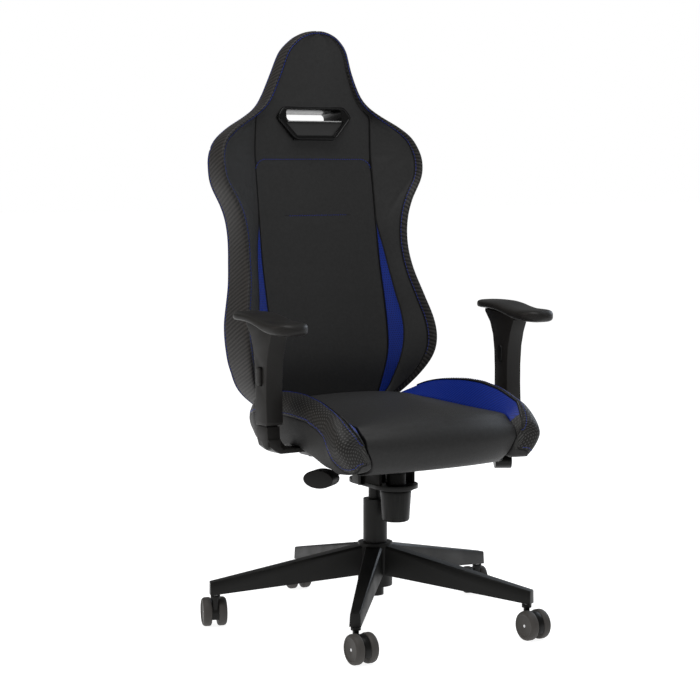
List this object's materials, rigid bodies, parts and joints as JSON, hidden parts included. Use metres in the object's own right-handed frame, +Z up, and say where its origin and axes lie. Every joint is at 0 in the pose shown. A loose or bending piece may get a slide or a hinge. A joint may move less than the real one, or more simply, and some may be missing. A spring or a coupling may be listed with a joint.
{
  "type": "gaming chair",
  "caption": "Racing-style gaming chair with a winged back, harness opening, height-adjustable arms, gas lift, rocking tilt and a star base on casters.",
  "frame": {"origin": "on the floor, under the axis of the swivel column", "axes": "+Z up along the swivel axis, the chair faces -Y, +X is the sitter's left"},
  "size_m": [0.7073, 0.7274, 1.236],
  "materials": {
    "base_plastic": "satin",
    "tube_paint": "satin",
    "bush_plastic": "matte",
    "bright_steel": "ground",
    "cylinder_paint": "satin",
    "housing_plastic": "fine grain",
    "black_steel": "powder coat",
    "board_wood": "raw plywood",
    "black_leather": "fine grained synthetic leather",
    "carbon_leather": "embossed synthetic leather with royal blue panels",
    "frame_plastic": "matte",
    "shell_leather": "synthetic leather",
    "bezel_gloss": "gloss",
    "trim_plastic": "satin",
    "arm_plastic": "fine grain",
    "pad_plastic": "soft touch polyurethane",
    "wheel_plastic": "nylon with a soft tread"
  },
  "bodies": {
    "base": {"base_star": "base_plastic", "column_tube": "tube_paint", "guide_bush": "bush_plastic", "thrust_bearing": "bright_steel"},
    "lift_rod": {"piston_rod": "bright_steel"},
    "mechanism": {"gas_cylinder": "cylinder_paint", "mechanism_housing": "housing_plastic", "tilt_pivot_pin": "bright_steel", "tension_spring": "black_steel"},
    "valve_pin": {"valve_pin": "bright_steel"},
    "tension_knob": {"tension_knob": "housing_plastic", "tension_bolt": "black_steel"},
    "lift_lever": {"lift_lever": "black_steel", "lift_paddle": "housing_plastic"},
    "tilt_lock_lever": {"tilt_lock_lever": "black_steel", "tilt_lock_paddle": "housing_plastic"},
    "seat": {"seat_plate": "black_steel", "seat_board": "board_wood", "back_bar": "black_steel", "m8_bolts": "black_steel", "seat_cushion": "black_leather", "seat_bolster_left": "carbon_leather", "seat_bolster_right": "carbon_leather", "back_frame": "frame_plastic", "back_cushion": "black_leather", "back_wing_left": "carbon_leather", "back_wing_right": "carbon_leather", "rear_shell": "shell_leather", "handle_bezel": "bezel_gloss", "handle_trim_plate": "trim_plastic", "arm_bracket_left": "arm_plastic", "arm_bracket_right": "arm_plastic"},
    "arm_left": {"arm_sleeve_left": "arm_plastic", "arm_pad_left": "pad_plastic"},
    "arm_button_left": {"arm_button_left": "arm_plastic"},
    "arm_right": {"arm_sleeve_right": "arm_plastic", "arm_pad_right": "pad_plastic"},
    "arm_button_right": {"arm_button_right": "arm_plastic"},
    "caster_rear_left": {"caster_pins_rear_left": "bright_steel", "caster_hood_rear_left": "base_plastic"},
    "wheel_a_rear_left": {"wheel_a_rear_left": "wheel_plastic"},
    "wheel_b_rear_left": {"wheel_b_rear_left": "wheel_plastic"},
    "caster_front_left": {"caster_pins_front_left": "bright_steel", "caster_hood_front_left": "base_plastic"},
    "wheel_a_front_left": {"wheel_a_front_left": "wheel_plastic"},
    "wheel_b_front_left": {"wheel_b_front_left": "wheel_plastic"},
    "caster_front_right": {"caster_pins_front_right": "bright_steel", "caster_hood_front_right": "base_plastic"},
    "wheel_a_front_right": {"wheel_a_front_right": "wheel_plastic"},
    "wheel_b_front_right": {"wheel_b_front_right": "wheel_plastic"},
    "caster_rear_right": {"caster_pins_rear_right": "bright_steel", "caster_hood_rear_right": "base_plastic"},
    "wheel_a_rear_right": {"wheel_a_rear_right": "wheel_plastic"},
    "wheel_b_rear_right": {"wheel_b_rear_right": "wheel_plastic"},
    "caster_rear": {"caster_pins_rear": "bright_steel", "caster_hood_rear": "base_plastic"},
    "wheel_a_rear": {"wheel_a_rear": "wheel_plastic"},
    "wheel_b_rear": {"wheel_b_rear": "wheel_plastic"}
  },
  "joints": [
    {"name": "seat_swivel", "type": "hinge", "parent": "base", "child": "lift_rod", "pos_m": [0, 0, 0.06], "axis": [0, 0, 1], "continuous": true},
    {"name": "seat_height", "type": "slide", "parent": "lift_rod", "child": "mechanism", "axis": [0, 0, 1], "range_m": [-0.02, 0.08]},
    {"name": "lift_lever_hinge", "type": "hinge", "parent": "mechanism", "child": "lift_lever", "pos_m": [-0.04222, -0.02679, 0.341], "axis": [-0.5358, 0.8443, 0], "range_deg": [0, 2.5], "stiffness_Nm_per_rad": 4, "springref_deg": -8.59},
    {"name": "valve_push", "type": "slide", "parent": "mechanism", "child": "valve_pin", "axis": [0, 0, -1], "range_m": [0, 0.0024]},
    {"name": "tilt_lock_slide", "type": "slide", "parent": "mechanism", "child": "tilt_lock_lever", "axis": [0.8443, -0.5358, 0], "range_m": [0, 0.012]},
    {"name": "tension_turn", "type": "hinge", "parent": "mechanism", "child": "tension_knob", "pos_m": [0, -0.075, 0.25], "axis": [0, 0, 1], "continuous": true},
    {"name": "seat_tilt", "type": "hinge", "parent": "mechanism", "child": "seat", "pos_m": [0, 0.018, 0.346], "axis": [-1, 0, 0], "range_deg": [0, 12], "stiffness_Nm_per_rad": 90, "springref_deg": -22.92},
    {"name": "arm_height_left", "type": "slide", "parent": "seat", "child": "arm_left", "axis": [0, 0, 1], "range_m": [0, 0.07]},
    {"name": "arm_button_push_left", "type": "slide", "parent": "arm_left", "child": "arm_button_left", "axis": [1, 0, 0], "range_m": [0, 0.004], "stiffness_N_per_m": 300, "springref_m": -0.002},
    {"name": "arm_height_right", "type": "slide", "parent": "seat", "child": "arm_right", "axis": [0, 0, 1], "range_m": [0, 0.07]},
    {"name": "arm_button_push_right", "type": "slide", "parent": "arm_right", "child": "arm_button_right", "axis": [-1, 0, 0], "range_m": [0, 0.004], "stiffness_N_per_m": 300, "springref_m": -0.002},
    {"name": "caster_swivel_rear_left", "type": "hinge", "parent": "base", "child": "caster_rear_left", "pos_m": [-0.31042, 0.12858, 0.08], "axis": [0, 0, 1], "continuous": true},
    {"name": "wheel_spin_a_rear_left", "type": "hinge", "parent": "caster_rear_left", "child": "wheel_a_rear_left", "pos_m": [-0.30272, 0.14865, 0.03], "axis": [-0.9336, 0.3584, 0], "continuous": true},
    {"name": "wheel_spin_b_rear_left", "type": "hinge", "parent": "caster_rear_left", "child": "wheel_b_rear_left", "pos_m": [-0.30272, 0.14865, 0.03], "axis": [-0.9336, 0.3584, 0], "continuous": true},
    {"name": "caster_swivel_front_left", "type": "hinge", "parent": "base", "child": "caster_front_left", "pos_m": [-0.21821, -0.2555, 0.08], "axis": [0, 0, 1], "continuous": true},
    {"name": "wheel_spin_a_front_left", "type": "hinge", "parent": "caster_front_left", "child": "wheel_a_front_left", "pos_m": [-0.21971, -0.27694, 0.03], "axis": [0.9976, -0.0698, 0], "continuous": true},
    {"name": "wheel_spin_b_front_left", "type": "hinge", "parent": "caster_front_left", "child": "wheel_b_front_left", "pos_m": [-0.21971, -0.27694, 0.03], "axis": [0.9976, -0.0698, 0], "continuous": true},
    {"name": "caster_swivel_front_right", "type": "hinge", "parent": "base", "child": "caster_front_right", "pos_m": [0.17556, -0.28649, 0.08], "axis": [0, 0, 1], "continuous": true},
    {"name": "wheel_spin_a_front_right", "type": "hinge", "parent": "caster_front_right", "child": "wheel_a_front_right", "pos_m": [0.17556, -0.30799, 0.03], "axis": [1, 0, 0], "continuous": true},
    {"name": "wheel_spin_b_front_right", "type": "hinge", "parent": "caster_front_right", "child": "wheel_b_front_right", "pos_m": [0.17556, -0.30799, 0.03], "axis": [1, 0, 0], "continuous": true},
    {"name": "caster_swivel_rear_right", "type": "hinge", "parent": "base", "child": "caster_rear_right", "pos_m": [0.32672, 0.07844, 0.08], "axis": [0, 0, 1], "continuous": true},
    {"name": "wheel_spin_a_rear_right", "type": "hinge", "parent": "caster_rear_right", "child": "wheel_a_rear_right", "pos_m": [0.33407, 0.09864, 0.03], "axis": [-0.9397, 0.342, 0], "continuous": true},
    {"name": "wheel_spin_b_rear_right", "type": "hinge", "parent": "caster_rear_right", "child": "wheel_b_rear_right", "pos_m": [0.33407, 0.09864, 0.03], "axis": [-0.9397, 0.342, 0], "continuous": true},
    {"name": "caster_swivel_rear", "type": "hinge", "parent": "base", "child": "caster_rear", "pos_m": [0.02636, 0.33496, 0.08], "axis": [0, 0, 1], "continuous": true},
    {"name": "wheel_spin_a_rear", "type": "hinge", "parent": "caster_rear", "child": "wheel_a_rear", "pos_m": [0.0312, 0.35591, 0.03], "axis": [-0.9744, 0.225, 0], "continuous": true},
    {"name": "wheel_spin_b_rear", "type": "hinge", "parent": "caster_rear", "child": "wheel_b_rear", "pos_m": [0.0312, 0.35591, 0.03], "axis": [-0.9744, 0.225, 0], "continuous": true}
  ],
  "couplings": [
    {"joint": "valve_push", "follows": "lift_lever_hinge", "m_per_rad": 0.05}
  ]
}
